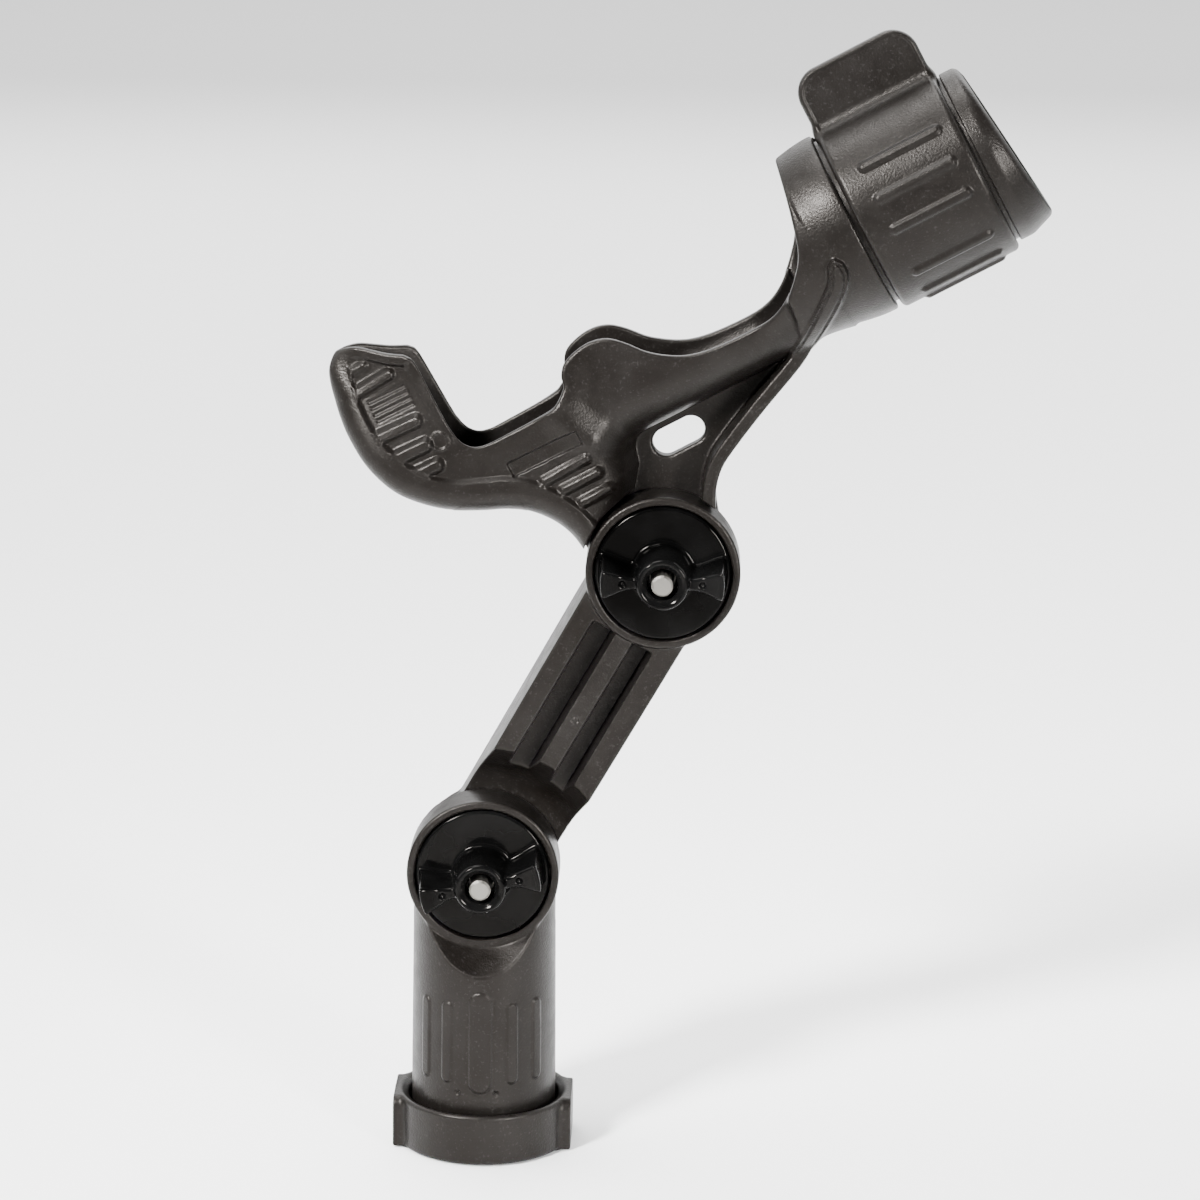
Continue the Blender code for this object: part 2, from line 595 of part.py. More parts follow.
# ---------------------------------------------------------------- rod ring
def retainer_ring(pivot):
    ring = lathe("retainer_ring", [
        (RING_INNER, RING_START), (RING_OUTER - 0.8, RING_START), (RING_OUTER, RING_START + 0.8),
        (RING_OUTER, RING_END - 0.8), (RING_OUTER - 0.8, RING_END), (RING_INNER, RING_END)],
        ROD, "X", 60)
    root = sqrt(RING_OUTER ** 2 - (SLOT_NEAR - 1.5) ** 2) - 1.4
    tab = prism("tab", rounded([(RING_START + 0.2, root, 0, 0), (RING_END - 0.2, root, 0, 0),
                                (RING_END - 0.2, 42.0, 8.0, 4), (RING_START + 0.2, 42.0, 6.0, 4)]),
                SLOT_NEAR - 3.2, SLOT_NEAR - 0.2, ROD)
    join(ring, tab)
    cut(ring, box("slot", (80, SLOT_NEAR, 10), (140, SLOT_FAR, 50), ROD))
    for angle in (58, 78, 97, 128, 149, 168):
        turned = Matrix.Rotation(radians(angle), 4, "X")
        bar = box("bar", (99.5, -1.3, RING_OUTER - 1.2), (123.5, 1.3, RING_OUTER + 0.6), ROD)
        bar.data.transform(turned)
        join(ring, bar)
    return finish(clean(ring), NYLON, pivot)


def nose(pivot):
    ring = lathe("nose_ring", [
        (BORE_RADIUS, NOSE_START), (NOSE_RADIUS - 0.5, NOSE_START), (NOSE_RADIUS, NOSE_START + 0.5),
        (NOSE_RADIUS, 135.5), (NOSE_RADIUS - 2.6, 141.5), (BORE_RADIUS + 0.9, 141.5),
        (BORE_RADIUS, 136.0)], ROD, "X", 48)
    face = [(137.0, 23.5), (140.6, -23.5), (160, -40), (160, 40), (136.0, 40)]
    cut(ring, prism("face", face, -40, 40, ROD))
    cut(ring, box("slot", (120, SLOT_NEAR, 0), (150, SLOT_FAR, 50), ROD))
    for index, angle in enumerate(SCREW_ANGLES, 1):
        place = screw_place(angle, 0)
        cut(ring, lathe("seat", [(0, 120), (1.4, 120), (1.4, 133.9), (2.2, 133.9), (2.2, 150), (0, 150)],
                        ROD, "X", 12, place, 0.3))
        screw = lathe("nose_screw_%d" % index,
                      [(0, 123), (1.1, 124), (1.1, 134.2), (1.9, 134.2), (1.9, 135.3), (1.5, 135.7),
                       (0, 135.7)], ROD, "X", 12, place)
        finish(screw, STEEL, pivot)
    finish(clean(ring), NYLON, pivot)

    wire = [(24.6 + 0.42 * cos(pi * k / 3), 110.3 + 0.42 * sin(pi * k / 3)) for k in range(6)]
    detent = lathe("ring_detent_spring", wire, ROD, "X", 40)
    gap = box("gap", (100, SLOT_NEAR - 2, 0), (120, SLOT_FAR + 2, 40), ROD)
    finish(clean(cut(detent, gap)), SPRING, pivot)


lower_pivot = empty("lower_pivot", LOWER)
upper_pivot = empty("upper_pivot", UPPER)
rod_axis = empty("rod_axis", ROD)

base_body()
base_rings()
finish(clean(arm_body()), NYLON, lower_pivot)
joint_hardware("lower", ARM, lower_pivot, KNOB_TURNED)
finish(clean(cradle_body()), NYLON, upper_pivot)
joint_hardware("upper", CRADLE, upper_pivot, UPPER)
retainer_ring(rod_axis)
nose(rod_axis)
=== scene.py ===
"""Looks of an adjustable fishing rod holder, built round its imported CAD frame.

Each moulded piece is a closed surface taken from a distance field in millimetres, in
the piece's own frame. The origin is the centre of the base socket's mouth, +Z runs up
the base tube, and the clamping knobs face -Y.
"""
import json
from math import cos, pi, radians, sin

import bpy
import numpy as np
from mathutils import Matrix, Vector


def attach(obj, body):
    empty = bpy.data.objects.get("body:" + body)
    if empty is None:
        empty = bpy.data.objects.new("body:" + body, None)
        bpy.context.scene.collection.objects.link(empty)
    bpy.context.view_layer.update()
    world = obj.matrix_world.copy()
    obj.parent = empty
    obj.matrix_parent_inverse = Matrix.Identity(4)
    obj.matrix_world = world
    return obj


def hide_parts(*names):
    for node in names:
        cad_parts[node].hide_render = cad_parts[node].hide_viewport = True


MM = 0.001

# Linkage, as in the CAD: millimetres and degrees
PIVOT_HEIGHT = 84.0
PIVOT_SPACING = 101.6
ARM_TILT = 29.2
CRADLE_TILT = 28.5
AXIS = 61.9                        # rod axis above the upper pivot
LOWER_KNOB_TURN = 13.0

# Joint ears
EAR_FRONT, EAR_BACK = -14.0, 13.0
MID_GAP = 0.3                      # from the mid plane to each ear's inner face
SWING_GAP = 0.34                   # from the mid plane to a face cut for the other ear's swing
RING_RADIUS, EAR_RADIUS = 21.6, 19.0
RECESS_RADIUS, RECESS_FLOOR = 19.3, -9.4
BOLT_HOLE = 3.4
HEX_FLATS, HEX_TURN, HEX_DEPTH = 11.7, 26.0, 4.3

# Base tube and its twist collar
TUBE_FOOT, TUBE_TAPER = 20.8, 0.4
TUBE_TOP = PIVOT_HEIGHT - 7.5
TUBE_SWING = 26.5                  # radius kept clear behind the mid plane for the arm's ear
SOCKET_RADIUS, SOCKET_DEPTH = 17.5, 50
BIB_RADIUS, BIB_START = 21.5, -13.6
MARK_RADIUS = 20.6                 # radius that the marks round the tube are laid out on
BAR_PLACES, BAR_FOOT, BAR_HEAD = (-17.8, -9.9, 9.2, 17.6), 25.0, 45.8
DIMPLE_PLACES, DIMPLE_HEIGHT = (-6.6, 4.6), 20.6
COLLAR_RADIUS, COLLAR_BORE = 25.0, 21.6
COLLAR_FOOT, COLLAR_TOP = 0.4, 15.3
GRIP_ROOT, GRIP_REACH = 21.0, 25.7

# Arm
ARM_FRONT, ARM_BACK = -12.6, 12.7
CHANNELS = ((-9.9, -2.6), (2.9, 9.2))
CHANNEL_DRAFT = 0.12
CHANNEL_MIDDLE, CHANNEL_HALF, CHANNEL_FLOOR = 47.8, 32.2, -5.1
BACK_MIDDLE, BACK_HALF, BACK_FLOOR = 52.0, 27.0, 5.2
RAMP_RADIUS, RAMP_SLOPE, RAMP_SCALE = 27.4, 0.742, 0.803
ROUND_MARK = 52.6

# Knob
PLATE_RADIUS, PLATE_FRONT, KNOB_BACK = 18.85, -13.8, -11.0
HUB_RADIUS, HUB_TOP = 8.5, -28.0
WELL_RADIUS, WELL_FLOOR = 4.2, -20.5

# Cradle
HALF = 13.6                        # half the trough's width
HOOK_TAPER = 51                    # how far from the hook's tip its width is full
WALL = 2.6
FLOOR_THICKNESS = 2.9
ROUND_OFF = 6.4                    # radius of the trough's lower edge and the column's corners
ROUNDER = 6.8                      # added to the trough's radius in front of the shoulder
SHOULDER = 1.4                     # how far it stands out from the trough's side
CREST, CREST_WIDTH = 1.5, 5.5      # crest along RIDGE, at the shoulder's front edge
RIDGE = ((-6.0, 57.0), (4.0, 34.0))
NECK_RADIUS, NECK_FLARE = 24.4, 2.9
FLANGE_HALF = 1.9
WEB_FRONT, WEB_BACK = 0.8, 5.8
ARM_SWING = 22.8                   # radius kept clear for the arm's cupped ear
SLOT_NEAR, SLOT_FAR = -5.0, 13.0   # drop-in slot, open towards the back of the top
BORE_RADIUS = 21.0

# Barrel, retainer ring and nose ring, along the rod
BARREL_RADIUS, BARREL_START, BARREL_END = 25.2, 90.5, 130.2
RETAINER_RADIUS, RETAINER_BORE = 27.9, 25.6
RETAINER_START, RETAINER_END = 92.7, 128.3
RETAINER_BARS = (58, 78, 97, 128, 149, 168)     # degrees from the top
MM_PER_DEGREE = 0.4869                          # round the retainer ring's outside
TAB_MIDDLE, TAB_HALF, TAB_THICKNESS = 110.5, 17.6, 3.1
NOSE_RADIUS, NOSE_START = 26.0, 129.4
NOSE_CONE, NOSE_FACE, NOSE_LEAN = 133.4, 137.9, 0.12

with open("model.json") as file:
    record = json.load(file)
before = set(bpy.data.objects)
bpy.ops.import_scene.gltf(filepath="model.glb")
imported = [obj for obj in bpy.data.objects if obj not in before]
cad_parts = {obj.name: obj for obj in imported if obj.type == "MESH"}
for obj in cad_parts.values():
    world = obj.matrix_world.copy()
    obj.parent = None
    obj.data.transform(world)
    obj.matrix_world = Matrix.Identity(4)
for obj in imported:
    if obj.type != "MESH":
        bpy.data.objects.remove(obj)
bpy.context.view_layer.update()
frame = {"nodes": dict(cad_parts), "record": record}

LOWER = Matrix.Translation((0, 0, PIVOT_HEIGHT * MM))
ARM = LOWER @ Matrix.Rotation(radians(ARM_TILT), 4, "Y")
UPPER = Matrix.Translation(ARM @ Vector((0, 0, PIVOT_SPACING * MM)))
CRADLE = UPPER @ Matrix.Rotation(-radians(CRADLE_TILT), 4, "Y")
BASE = Matrix.Identity(4)
LOWER_KNOB = LOWER @ Matrix.Rotation(-radians(LOWER_KNOB_TURN), 4, "Y")


# ---------------------------------------------------------------- distance fields
def smin(a, b, k):
    """Union of two solids with a fillet of about k."""
    h = np.maximum(k - np.abs(a - b), 0) / k
    return np.minimum(a, b) - h * h * k * 0.25


def smax(a, b, k):
    """Overlap of two solids with an edge rounded by about k."""
    h = np.maximum(k - np.abs(a - b), 0) / k
    return np.maximum(a, b) + h * h * k * 0.25


def corner(a, b, radius):
    """Overlap of two half spaces with a true round edge."""
    a, b = a + radius, b + radius
    return np.minimum(np.maximum(a, b), 0) + np.hypot(np.maximum(a, 0), np.maximum(b, 0)) - radius


def slab(v, low, high):
    """Layer between two parallel planes."""
    return np.maximum(low - v, v - high)


def box2(u, v, half_u, half_v, radius=0.0):
    """Rectangle about the origin with round corners."""
    a, b = np.abs(u) - half_u + radius, np.abs(v) - half_v + radius
    return np.hypot(np.maximum(a, 0), np.maximum(b, 0)) + np.minimum(np.maximum(a, b), 0) - radius


def bar2(u, v, ends, radius):
    """Flat bar with round ends between two points."""
    (u1, v1), (u2, v2) = ends
    du, dv = u2 - u1, v2 - v1
    t = np.clip(((u - u1) * du + (v - v1) * dv) / (du * du + dv * dv), 0, 1)
    return np.hypot(u - u1 - t * du, v - v1 - t * dv) - radius


def blend(v, low, high):
    """Smooth step from 0 at low to 1 at high."""
    t = np.clip((v - low) / (high - low), 0, 1)
    return t * t * (3 - 2 * t)


def raised(field, mark, height, edge=0.7):
    """Lifts the surface by height inside the flat shape mark; a negative height sinks it."""
    return field - height * (1 - blend(mark, -edge / 2, edge / 2))


class Outline:
    """Signed distance to a closed outline in the side plane, tabulated on a grid."""

    def __init__(self, points, cell=0.3, margin=8.0):
        p = np.array(points, np.float32)
        self.cell, self.low = cell, p.min(0) - margin
        self.count = ((p.max(0) + margin - self.low) / cell).astype(int) + 2
        x = self.low[0] + cell * np.arange(self.count[0], dtype=np.float32)[:, None]
        z = self.low[1] + cell * np.arange(self.count[1], dtype=np.float32)[None, :]
        near = np.full(self.count, 1e9, np.float32)
        within = np.zeros(self.count, bool)
        for (x1, z1), (x2, z2) in zip(p, np.roll(p, -1, 0)):
            ex, ez = x2 - x1, z2 - z1
            wx, wz = x - x1, z - z1
            t = np.clip((wx * ex + wz * ez) / max(ex * ex + ez * ez, 1e-9), 0, 1)
            near = np.minimum(near, (wx - t * ex) ** 2 + (wz - t * ez) ** 2)
            above, below, left = z >= z1, z < z2, ex * wz > ez * wx
            within ^= (above & below & left) | (~above & ~below & ~left)
        self.table = np.sqrt(near) * np.where(within, -1, 1)

    def __call__(self, x, z):
        u = np.clip((x - self.low[0]) / self.cell, 0, self.count[0] - 1.001)
        v = np.clip((z - self.low[1]) / self.cell, 0, self.count[1] - 1.001)
        i, j = u.astype(np.int32), v.astype(np.int32)
        u, v, d = u - i, v - j, self.table
        return ((d[i, j] * (1 - u) + d[i + 1, j] * u) * (1 - v)
                + (d[i, j + 1] * (1 - u) + d[i + 1, j + 1] * u) * v)


def smooth_path(points, steps=6):
    """Catmull-Rom curve through the points, ends included."""
    p = [Vector(q) for q in [points[0], *points, points[-1]]]
    path = []
    for a, b, c, d in zip(p, p[1:], p[2:], p[3:]):
        for k in range(steps):
            t = k / steps
            path.append(tuple(0.5 * (2 * b + (c - a) * t + (2 * a - 5 * b + 4 * c - d) * t * t
                                     + (3 * b - 3 * c + d - a) * t ** 3)))
    return path + [tuple(points[-1])]


# ---------------------------------------------------------------- surfaces from fields
CORNERS = [(i, j, k) for i in (0, 1) for j in (0, 1) for k in (0, 1)]
EDGES = [(a, b) for a in range(8) for b in range(a + 1, 8)
         if sum(abs(p - q) for p, q in zip(CORNERS[a], CORNERS[b])) == 1]
BLOCK = 8                          # grid points along a block's side
CHUNK = 1500                       # blocks worked out at a time
STEEPEST = 1.35                    # the largest slope that a field is taken to have


def sample(field, low, high, step):
    """Field values on a grid, worked out in full only near the surface."""
    blocks = np.ceil((high - low) / step / BLOCK).astype(int) + 1
    half_diagonal = step * BLOCK * 0.5 * 3 ** 0.5
    reach = half_diagonal * STEEPEST + step
    at = np.indices(blocks).reshape(3, -1).T
    middle = low + (at * BLOCK + (BLOCK - 1) / 2) * step
    rough = field(*middle.T.astype(np.float32))
    values = np.repeat(np.repeat(np.repeat(
        rough.reshape(blocks).astype(np.float32), BLOCK, 0), BLOCK, 1), BLOCK, 2)
    inner = np.indices((BLOCK,) * 3).reshape(3, -1).T
    close = at[np.abs(rough) < reach]
    for start in range(0, len(close), CHUNK):
        cells = (close[start:start + CHUNK, None] * BLOCK + inner).reshape(-1, 3)
        points = (low + cells * step).T.astype(np.float32)
        values[tuple(cells.T)] = field(*points)
    return values


def slope_of(field, p, h=0.1):
    """Gradient of the field at the points p."""
    x, y, z = p.T.astype(np.float32)
    return np.stack([field(x + h, y, z) - field(x - h, y, z), field(x, y + h, z) - field(x, y - h, z),
                     field(x, y, z + h) - field(x, y, z - h)], 1) / (2 * h)


def crossing_points(values, low, step):
    """One point in each cell that the surface crosses, at the mean of its edge crossings."""
    solid = values < 0
    counts = sum(solid[i:solid.shape[0] - 1 + i, j:solid.shape[1] - 1 + j,
                       k:solid.shape[2] - 1 + k].astype(np.int8) for i, j, k in CORNERS)
    mixed = (counts > 0) & (counts < 8)
    cells = np.argwhere(mixed)
    index = np.full(mixed.shape, -1, np.int32)
    index[mixed] = np.arange(len(cells))
    at_corner = [values[tuple((cells + c).T)] for c in CORNERS]
    total, hits = np.zeros((len(cells), 3)), np.zeros(len(cells))
    for a, b in EDGES:
        va, vb = at_corner[a], at_corner[b]
        cross = (va < 0) != (vb < 0)
        t = np.where(cross, va / np.where(cross, va - vb, 1), 0)
        point = np.array(CORNERS[a]) + t[:, None] * (np.array(CORNERS[b]) - np.array(CORNERS[a]))
        total += point * cross[:, None]
        hits += cross
    return low + (cells + total / hits[:, None]) * step, index


def crossing_quads(values, index):
    """One quad round each grid edge that the surface crosses, by the cells' point numbers."""
    solid = values < 0
    quads = []
    for axis in range(3):
        u, v = (axis + 1) % 3, (axis + 2) % 3
        first = solid.take(range(solid.shape[axis] - 1), axis)
        second = solid.take(range(1, solid.shape[axis]), axis)
        for flip, change in ((False, first & ~second), (True, second & ~first)):
            e = np.argwhere(change)
            e = e[(e[:, u] > 0) & (e[:, v] > 0)]
            ring = []
            for du, dv in ((1, 1), (0, 1), (0, 0), (1, 0)):
                c = e.copy()
                c[:, u] -= du
                c[:, v] -= dv
                ring.append(index[tuple(c.T)])
            quads.append(np.stack(ring[::-1] if flip else ring, 1))
    return np.concatenate(quads)


def settle(field, points, step):
    """The points moved onto the field's zero level, and normals along its slope."""
    for _ in range(3):
        g = slope_of(field, points)
        size = np.maximum((g * g).sum(1), 0.25)
        move = np.clip(field(*points.T.astype(np.float32)) / size, -0.5 * step, 0.5 * step)
        points = points - g * move[:, None]
    normals = slope_of(field, points, 0.14)
    return points, normals / np.maximum(np.linalg.norm(normals, axis=1), 1e-6)[:, None]


def surface(name, field, low, high, step, place, paint, body, replaced=()):
    """Closed quad mesh on the field's zero level, set down in the row frame."""
    low, high = np.array(low, float) - 1.5 * step, np.array(high, float) + 1.5 * step
    values = sample(field, low, high, step)
    points, index = crossing_points(values, low, step)
    quads = crossing_quads(values, index)
    points, normals = settle(field, points, step)
    turn = np.array(place.to_3x3())
    points = points @ turn.T * MM + np.array(place.translation)
    normals = normals @ turn.T

    mesh = bpy.data.meshes.new(name)
    mesh.vertices.add(len(points))
    mesh.vertices.foreach_set("co", points.astype(np.float32).ravel())
    mesh.loops.add(quads.size)
    mesh.loops.foreach_set("vertex_index", quads.astype(np.int32).ravel())
    mesh.polygons.add(len(quads))
    mesh.polygons.foreach_set("loop_start", np.arange(0, quads.size, 4, dtype=np.int32))
    mesh.update(calc_edges=True)
    mesh.validate()
    mesh.shade_smooth()
    mesh.normals_split_custom_set_from_vertices(normals.astype(np.float32))

    made = bpy.data.objects.new(name, mesh)
    bpy.context.collection.objects.link(made)
    made.data.materials.append(paint)
    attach(made, body)
    if replaced:
        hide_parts(*replaced)


# ---------------------------------------------------------------- materials
SPECK_SCALE, CLOUD_SCALE, SHEEN_SCALE, GRAIN_SCALE = 1300, 45, 260, 1700
BRUSH_SCALE = 900


def nylon(name, colour, roughness, grain, speck, shine):
    """Moulded plastic: fine grain in the surface and faint lighter specks."""
    made = bpy.data.materials.new(name)
    made.use_nodes = True
    nodes, links = made.node_tree.nodes, made.node_tree.links
    shader = nodes["Principled BSDF"]
    place = nodes.new("ShaderNodeTexCoord").outputs["Object"]

    def noise(scale, detail):
        node = nodes.new("ShaderNodeTexNoise")
        node.inputs["Scale"].default_value = scale
        node.inputs["Detail"].default_value = detail
        links.new(place, node.inputs["Vector"])
        return node.outputs["Fac"]

    def spread(source, low, high, to_low, to_high):
        node = nodes.new("ShaderNodeMapRange")
        for slot, value in zip(("From Min", "From Max", "To Min", "To Max"),
                               (low, high, to_low, to_high)):
            node.inputs[slot].default_value = value
        links.new(source, node.inputs["Value"])
        return node.outputs["Result"]

    mix = nodes.new("ShaderNodeMix")
    mix.data_type = "RGBA"
    mix.inputs["A"].default_value = (*colour, 1)
    mix.inputs["B"].default_value = (*(min(1, c * 2.2 + 0.02) for c in colour), 1)
    specks = spread(noise(SPECK_SCALE, 2), 0.60, 0.72, 0.0, speck)
    clouds = spread(noise(CLOUD_SCALE, 3), 0.35, 0.75, 0.0, 0.16)
    add = nodes.new("ShaderNodeMath")
    links.new(specks, add.inputs[0])
    links.new(clouds, add.inputs[1])
    links.new(add.outputs[0], mix.inputs["Factor"])
    links.new(mix.outputs["Result"], shader.inputs["Base Color"])
    shader.inputs["Specular IOR Level"].default_value = shine
    shader.inputs["Specular Tint"].default_value = (1.0, 0.94, 0.88, 1)
    links.new(spread(noise(SHEEN_SCALE, 4), 0.3, 0.7, roughness - 0.05, roughness + 0.06),
              shader.inputs["Roughness"])
    bump = nodes.new("ShaderNodeBump")
    bump.inputs["Strength"].default_value = grain
    bump.inputs["Distance"].default_value = 0.0002
    links.new(noise(GRAIN_SCALE, 3), bump.inputs["Height"])
    links.new(bump.outputs["Normal"], shader.inputs["Normal"])
    return made


def metal(name, colour, roughness):
    """Bare metal with uneven roughness."""
    made = bpy.data.materials.new(name)
    made.use_nodes = True
    nodes, links = made.node_tree.nodes, made.node_tree.links
    shader = nodes["Principled BSDF"]
    shader.inputs["Metallic"].default_value = 1
    shader.inputs["Base Color"].default_value = (*colour, 1)
    noise = nodes.new("ShaderNodeTexNoise")
    noise.inputs["Scale"].default_value = BRUSH_SCALE
    spread = nodes.new("ShaderNodeMapRange")
    spread.inputs["To Min"].default_value = roughness - 0.08
    spread.inputs["To Max"].default_value = roughness + 0.12
    links.new(nodes.new("ShaderNodeTexCoord").outputs["Object"], noise.inputs["Vector"])
    links.new(noise.outputs["Fac"], spread.inputs["Value"])
    links.new(spread.outputs["Result"], shader.inputs["Roughness"])
    return made


NYLON = nylon("glass_filled_nylon", (0.0028, 0.0022, 0.0018), 0.35, 0.50, 0.34, 0.15)
GLOSS = nylon("gloss_nylon", (0.0004, 0.0004, 0.0004), 0.10, 0.01, 0.0, 0.06)
STEEL = metal("stainless_steel", (0.22, 0.21, 0.19), 0.40)
WIRE = metal("spring_steel", (0.48, 0.48, 0.47), 0.35)
RUBBER = nylon("black_rubber", (0.012, 0.012, 0.012), 0.70, 0.30, 0.05, 0.40)


# ---------------------------------------------------------------- joint ears
def front_ear(x, y, z):
    """Cupped ear in front of the mid plane; the knob sits in the recess."""
    r = np.hypot(x, z)
    ear = corner(slab(y, EAR_FRONT, 30), r - RING_RADIUS, 0.9)
    ear = smax(ear, y + MID_GAP, 0.3)
    recess = np.maximum(r - RECESS_RADIUS, y - RECESS_FLOOR)
    return smax(smax(ear, -recess, 0.5), BOLT_HOLE - r, 0.2)


def hexagon(x, z, flats, turn):
    """Hexagon about the pivot, flats wide across its flats."""
    d = -1e9
    for k in range(3):
        a = radians(turn + 30 + 60 * k)
        d = np.maximum(d, np.abs(x * cos(a) + z * sin(a)) - flats / 2)
    return d


def back_ear(x, y, z):
    """Plain ear behind the mid plane, with the bolt head's pocket."""
    r = np.hypot(x, z)
    ear = smax(corner(y - EAR_BACK, r - EAR_RADIUS, 1.0), MID_GAP - y, 0.3)
    pocket = np.maximum(hexagon(x, z, HEX_FLATS, HEX_TURN), EAR_BACK - HEX_DEPTH - y)
    return smax(smax(ear, -pocket, 0.4), BOLT_HOLE - r, 0.2)


def knob_room(x, y, z):
    """Space in front of the recess, kept clear for the knob."""
    return np.maximum(np.hypot(x, z) - RECESS_RADIUS, slab(y, -40, RECESS_FLOOR))


# ---------------------------------------------------------------- base
def base_body(x, y, z):
    """Round tube with a bib under the cupped ear, and the post's socket below."""
    r = np.hypot(x, y)
    up = z - PIVOT_HEIGHT
    tube = corner(r - TUBE_FOOT + TUBE_TAPER * blend(z, 12, 78), slab(z, 0, TUBE_TOP), 0.7)
    across = np.hypot(x, up)
    tube = smax(tube, -np.maximum(across - TUBE_SWING, -SWING_GAP - y), 0.6)
    cone = np.maximum((across - BIB_RADIUS + y - BIB_START) * 0.7071, y - BIB_START)
    tube = smax(tube, -cone, 0.5)
    body = smin(tube, front_ear(x, y, up), 0.8)
    body = np.maximum(body, -knob_room(x, y, up))

    around = np.where(y < 0, np.arctan2(x, -y), np.arctan2(-x, y)) * MARK_RADIUS
    pad = bar2(around, z, ((0, 24.0), (0, 47.6)), 3.4)
    body = raised(body, pad, 0.28)
    body = raised(body, np.abs(pad) - 0.35, -0.22, 0.5)
    for place in BAR_PLACES:
        bar = bar2(around, z, ((place, BAR_FOOT), (place, BAR_HEAD)), 1.6)
        body = raised(body, bar, 0.55, 0.9)
    for place in DIMPLE_PLACES:
        body = raised(body, np.hypot(around - place, z - DIMPLE_HEIGHT) - 0.7, -0.4, 0.5)

    body = smax(body, -np.maximum(r - SOCKET_RADIUS, z - SOCKET_DEPTH), 0.6)
    clip_groove = box2(r - 20.9, z - 1.7, 1.4, 0.9)
    drag_groove = box2(r - 20.9, z - 7.6, 1.5, 1.2)
    return np.maximum(body, -np.minimum(clip_groove, drag_groove))


def twist_collar(x, y, z):
    """Lock collar with two flat finger grips."""
    r = np.hypot(x, y)
    ring = corner(r - COLLAR_RADIUS, slab(z, COLLAR_FOOT, COLLAR_TOP), 1.2)
    grip = corner(box2(y, z - 5.85, 11.0, 9.45, 3.4), np.abs(x) - GRIP_REACH, 0.5)
    grip = np.maximum(grip, GRIP_ROOT - np.abs(x))
    grip = np.maximum(grip, COLLAR_FOOT - z)
    body = smin(ring, grip, 1.2)
    mouth = np.minimum(np.maximum(r - COLLAR_BORE, slab(z, -5, 30)),
                       np.maximum(r - 23.2, z - 3.2))
    bevel = (r - COLLAR_BORE) * 0.6 - (z - COLLAR_TOP) * 0.8 - 1.2
    return smax(smax(body, -mouth, 0.5), -bevel, 0.6)


# ---------------------------------------------------------------- arm
def arm(x, y, z):
    """Extension arm, z along it: two channels in front and behind."""
    half = 15.4 + 0.4 * blend(z, 10, 95)
    ends = np.maximum(slab(y, ARM_FRONT, ARM_BACK), slab(z, 4, PIVOT_SPACING - 5))
    beam = corner(np.abs(x) - half, ends, 0.8)
    ramp = (np.hypot(x, z) - RAMP_RADIUS + (y - SWING_GAP) * RAMP_SLOPE) * RAMP_SCALE
    beam = smax(beam, -smax(ramp, y - SWING_GAP, 4.0), 0.5)
    up = z - PIVOT_SPACING
    beam = smax(beam, -np.maximum(np.hypot(x, up) - 20.3, -SWING_GAP - y), 0.6)
    for left, right in CHANNELS:
        middle, width = (left + right) / 2, (right - left) / 2
        draft = CHANNEL_DRAFT * (y - ARM_FRONT)
        front = box2(x - middle, z - CHANNEL_MIDDLE, width - draft, CHANNEL_HALF - draft, 0.6)
        back = box2(x - middle, z - BACK_MIDDLE, width - 0.6, BACK_HALF, 0.6)
        beam = smax(beam, -np.maximum(front, y - CHANNEL_FLOOR), 0.5)
        beam = smax(beam, -np.maximum(back, BACK_FLOOR - y), 0.5)
    mark = np.abs(np.hypot(x, z - ROUND_MARK) - 0.9) - 0.25
    beam = raised(beam, np.maximum(mark, y), -0.25, 0.5)
    body = smin(smin(beam, front_ear(x, y, up), 0.8), back_ear(x, y, z), 0.8)
    return np.maximum(body, -knob_room(x, y, up))


# ---------------------------------------------------------------- knob
def knob(x, y, z):
    """Round knob with a tall hub and two flared finger wings."""
    r = np.hypot(x, z)
    plate = corner(r - PLATE_RADIUS, slab(y, PLATE_FRONT, KNOB_BACK), 0.8)
    hub = corner(r - HUB_RADIUS + 0.10 * (PLATE_FRONT - y), slab(y, HUB_TOP, KNOB_BACK), 1.2)
    out = np.abs(x)
    spread = 1.4 + 2.8 * blend(out, 8.0, 18.0)
    crest = -25.4 - 2.4 * blend(out, 10.5, 17.6)
    draft = 0.11 * (y + 27)
    wing = corner(np.abs(z + 0.2) - spread - draft, slab(y, crest, KNOB_BACK), 0.8)
    wing = smax(wing, r - 17.9 + 0.06 * (-13 - y), 0.7)
    dimple = np.hypot(np.hypot(out - 11.0, z + 0.3), (y + 26.0) * 0.7) - 1.0
    body = smin(smin(plate, hub, 1.0), wing, 0.9)
    body = smax(body, -dimple, 0.4)
    well = np.maximum(r - WELL_RADIUS, y - WELL_FLOOR)
    mouth = (r - 6.2) * 0.6 + (y - HUB_TOP) * 0.8
    return smax(smax(smax(body, -mouth, 0.6), -well, 0.6), 3.6 - r, 0.3)


